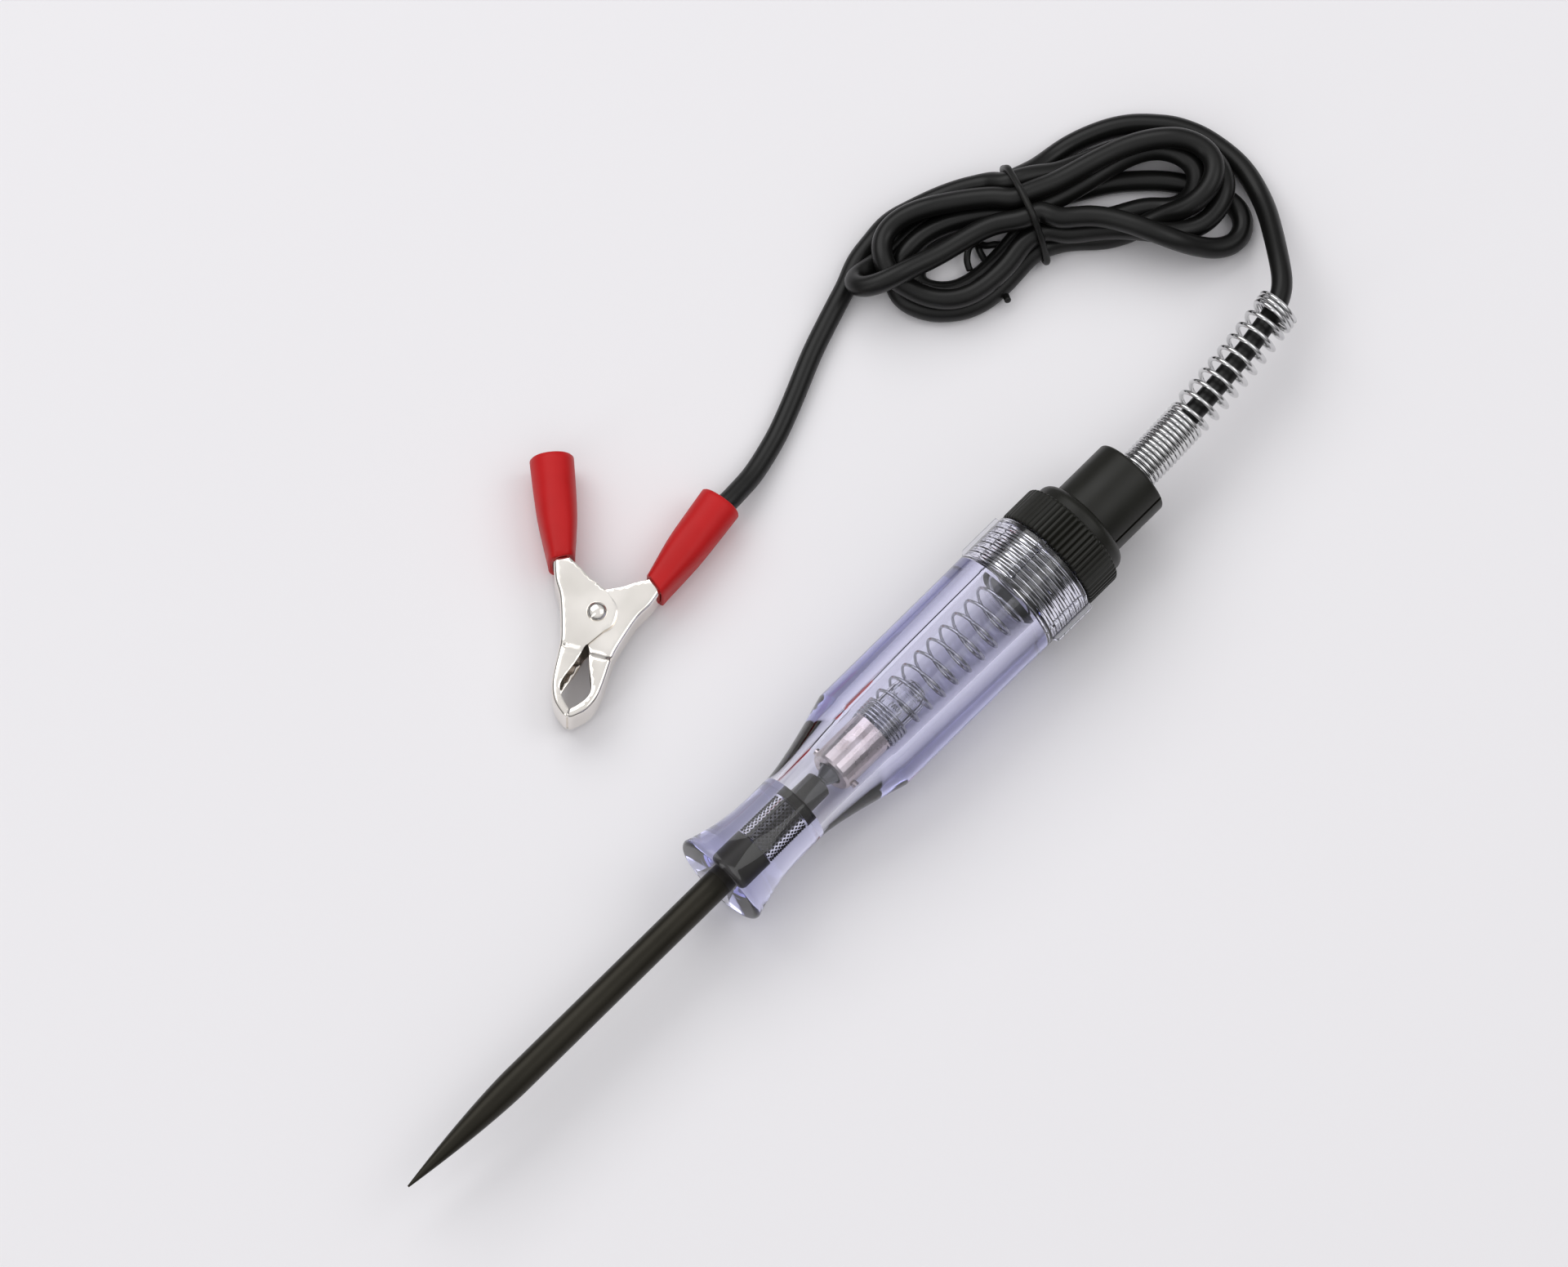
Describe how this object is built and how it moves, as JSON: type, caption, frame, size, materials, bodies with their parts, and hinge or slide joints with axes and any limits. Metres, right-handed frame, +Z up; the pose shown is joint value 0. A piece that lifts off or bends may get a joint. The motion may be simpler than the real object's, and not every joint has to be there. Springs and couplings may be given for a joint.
{
  "type": "automotive circuit tester",
  "caption": "Pointed probe in a clear lamp handle with a screw cap, spring strain relief, bundled ground lead and a spring clip with red sleeves.",
  "frame": {"origin": "middle of the tool's own box on the surface it lies on, without the lead and the clip", "axes": "+X along the tool from the probe's tip to the cap, +Z up from the surface"},
  "size_m": [0.2538, 0.096, 0.0247],
  "materials": {
    "clear_violet_plastic": "clear tinted polymer, polished",
    "black_plastic": "moulded, slightly glossy",
    "black_oxide_steel": "black oxide, satin",
    "zinc_wire": "zinc plated spring wire",
    "nickel_plate": "nickel plated, slightly worn",
    "clip_nickel": "nickel plated pressed steel",
    "lamp_glass": "clear blown glass",
    "dark_glass": "black glass seal",
    "solder": "solder bead",
    "tungsten": "drawn wire",
    "black_cable": "smooth soft jacket",
    "black_tie": "coated wire tie",
    "copper_strand": "bare copper strands",
    "red_sleeve": "soft red vinyl"
  },
  "bodies": {
    "cap_and_lead": {"cap": "black_plastic", "relief_spring": "zinc_wire", "contact_spring": "zinc_wire", "cable_terminal": "nickel_plate", "cord_lead": "black_cable", "cord_hank": "black_cable", "cord_tail": "black_cable", "twist_tie": "black_tie", "cord_conductor": "copper_strand", "clip_jaw_fixed": "clip_nickel", "clip_rivet": "clip_nickel", "clip_spring": "zinc_wire", "clip_sleeve_fixed": "red_sleeve"},
    "lamp": {"bulb_base": "nickel_plate", "bulb_contact": "solder", "bulb_insulator": "dark_glass", "bulb_glass": "lamp_glass", "bulb_filament": "tungsten"},
    "handle_and_probe": {"handle": "clear_violet_plastic", "probe": "black_oxide_steel"},
    "clip_moving_half": {"clip_jaw_moving": "clip_nickel", "clip_sleeve_moving": "red_sleeve"}
  },
  "joints": [
    {"name": "handle_advance", "type": "slide", "parent": "cap_and_lead", "child": "lamp", "axis": [-1, 0, 0], "range_m": [0, 0.00845]},
    {"name": "handle_turn", "type": "hinge", "parent": "lamp", "child": "handle_and_probe", "pos_m": [0, 0, 0.01235], "axis": [-1, 0, 0], "range_deg": [0, 2340]},
    {"name": "clip_jaw_pivot", "type": "hinge", "parent": "cap_and_lead", "child": "clip_moving_half", "pos_m": [-0.01257, 0.0532, 0.0053], "axis": [0, 0, -1], "range_deg": [0, 30], "stiffness_Nm_per_rad": 0.15, "springref_deg": -34.38, "deforming": ["clip_spring"]}
  ],
  "couplings": [
    {"joint": "handle_turn", "follows": "handle_advance", "rad_per_m": 4833.2}
  ]
}
